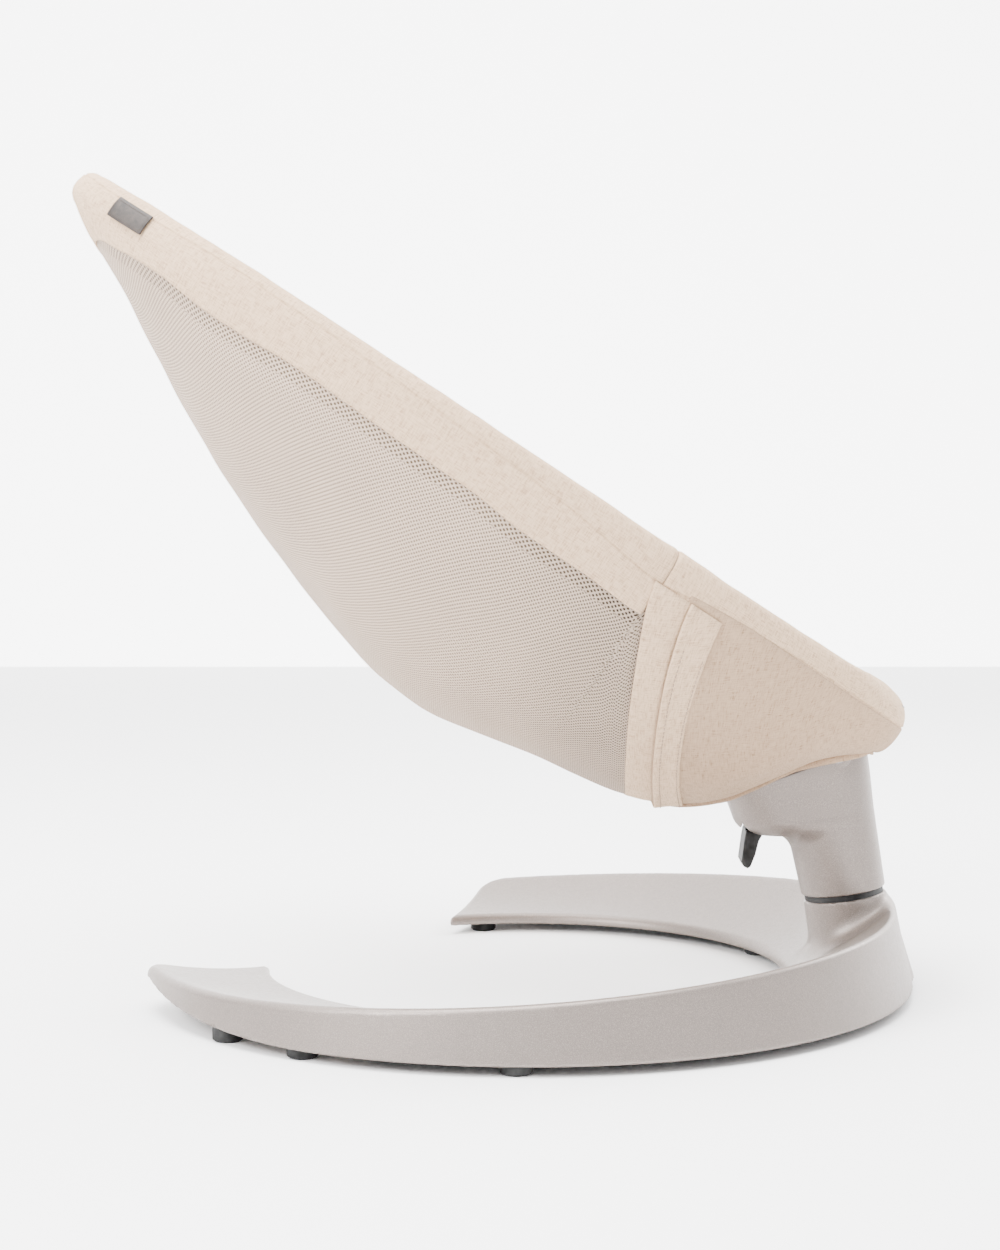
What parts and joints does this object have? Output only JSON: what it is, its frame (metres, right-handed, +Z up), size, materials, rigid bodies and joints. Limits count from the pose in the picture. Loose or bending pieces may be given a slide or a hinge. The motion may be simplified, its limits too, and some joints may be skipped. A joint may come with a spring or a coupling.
{
  "type": "bouncer seat",
  "caption": "Baby lounger: a fabric sling on a leaf-shaped rim, carried by a post that sways on an open floor ring, with recline, sway lock and harness.",
  "frame": {"origin": "on the floor, under the middle of the object's box", "axes": "+X from the seat's head end to its foot end and the post, +Y away from the near side, +Z up"},
  "size_m": [0.7115, 0.66, 0.6923],
  "materials": {
    "cast_paint": "satin",
    "clamp_cast": "satin",
    "underplate": "matte",
    "foot_rubber": "matte",
    "bearing_steel": "satin",
    "fastener_steel": "satin",
    "spring_steel": "satin",
    "hoop_tube": "satin",
    "lever_plastic": "satin",
    "bush_plastic": "matte",
    "linen": "matte",
    "mesh": "matte",
    "liner": "matte",
    "tag_leather": "matte",
    "webbing": "matte",
    "buckle_plastic": "satin",
    "button_plastic": "satin"
  },
  "bodies": {
    "base": {"base_ring": "cast_paint", "base_underplate": "underplate", "foot_pads": "foot_rubber", "pivot_shaft": "bearing_steel", "shaft_bolt": "fastener_steel", "bearing_inner_races": "bearing_steel", "bearing_balls": "bearing_steel", "bearing_spacer": "bearing_steel", "seam_seal": "foot_rubber", "shaft_washer": "fastener_steel", "shaft_nut": "fastener_steel"},
    "column": {"column_housing": "cast_paint", "bearing_outer_races": "bearing_steel", "bearing_circlip": "fastener_steel", "recline_pin": "fastener_steel", "recline_pin_clip": "fastener_steel", "lever_bracket": "fastener_steel", "lever_pin": "fastener_steel", "lever_spring": "spring_steel"},
    "lever": {"recline_lever": "lever_plastic"},
    "sway_lock": {"sway_lock_slider": "lever_plastic", "sway_brake_shoe": "foot_rubber"},
    "seat": {"seat_hub": "cast_paint", "hub_bushings": "bush_plastic", "tube_clamp": "clamp_cast", "clamp_screws": "fastener_steel", "lower_hoop": "hoop_tube", "upper_hoop": "hoop_tube", "joint_plugs": "fastener_steel", "snap_springs": "spring_steel", "rim_sleeve_lower": "linen", "rim_sleeve_upper": "linen", "mesh_sling": "mesh", "foot_cover": "linen", "closure_flap": "linen", "padded_liner": "liner", "label_tag": "tag_leather", "crotch_strap": "webbing", "waist_strap_left": "webbing", "waist_strap_right": "webbing", "strap_adjusters": "buckle_plastic", "buckle_housing": "buckle_plastic", "buckle_tongues": "fastener_steel", "buckle_spring": "spring_steel"},
    "snap_left": {"snap_button_left": "fastener_steel"},
    "snap_right": {"snap_button_right": "fastener_steel"},
    "buckle_release": {"buckle_button": "button_plastic"}
  },
  "joints": [
    {"name": "sway", "type": "hinge", "parent": "base", "child": "column", "pos_m": [0.302, 0, 0.08], "axis": [-0.1444, 0, 0.9895], "range_deg": [-35, 35]},
    {"name": "recline", "type": "hinge", "parent": "column", "child": "seat", "pos_m": [0.29, 0, 0.205], "axis": [0, 1, 0], "range_deg": [-14, 0]},
    {"name": "lever_squeeze", "type": "hinge", "parent": "column", "child": "lever", "pos_m": [0.231, 0, 0.143], "axis": [0, -1, 0], "range_deg": [0, 15], "stiffness_Nm_per_rad": 0.3, "springref_deg": -20.05, "deforming": ["lever_spring"]},
    {"name": "sway_lock_slide", "type": "slide", "parent": "column", "child": "sway_lock", "axis": [0.1444, 0, -0.9895], "range_m": [0, 0.0055]},
    {"name": "snap_left_press", "type": "slide", "parent": "seat", "child": "snap_left", "axis": [0.549, 0, 0.8358], "range_m": [0, 0.0026], "stiffness_N_per_m": 700, "springref_m": -0.002, "deforming": ["snap_springs"]},
    {"name": "snap_right_press", "type": "slide", "parent": "seat", "child": "snap_right", "axis": [0.549, 0, 0.8358], "range_m": [0, 0.0026], "stiffness_N_per_m": 700, "springref_m": -0.002, "deforming": ["snap_springs"]},
    {"name": "buckle_press", "type": "slide", "parent": "seat", "child": "buckle_release", "axis": [-0.549, 0, -0.8358], "range_m": [0, 0.003], "stiffness_N_per_m": 600, "springref_m": -0.003, "deforming": ["buckle_spring"]}
  ]
}
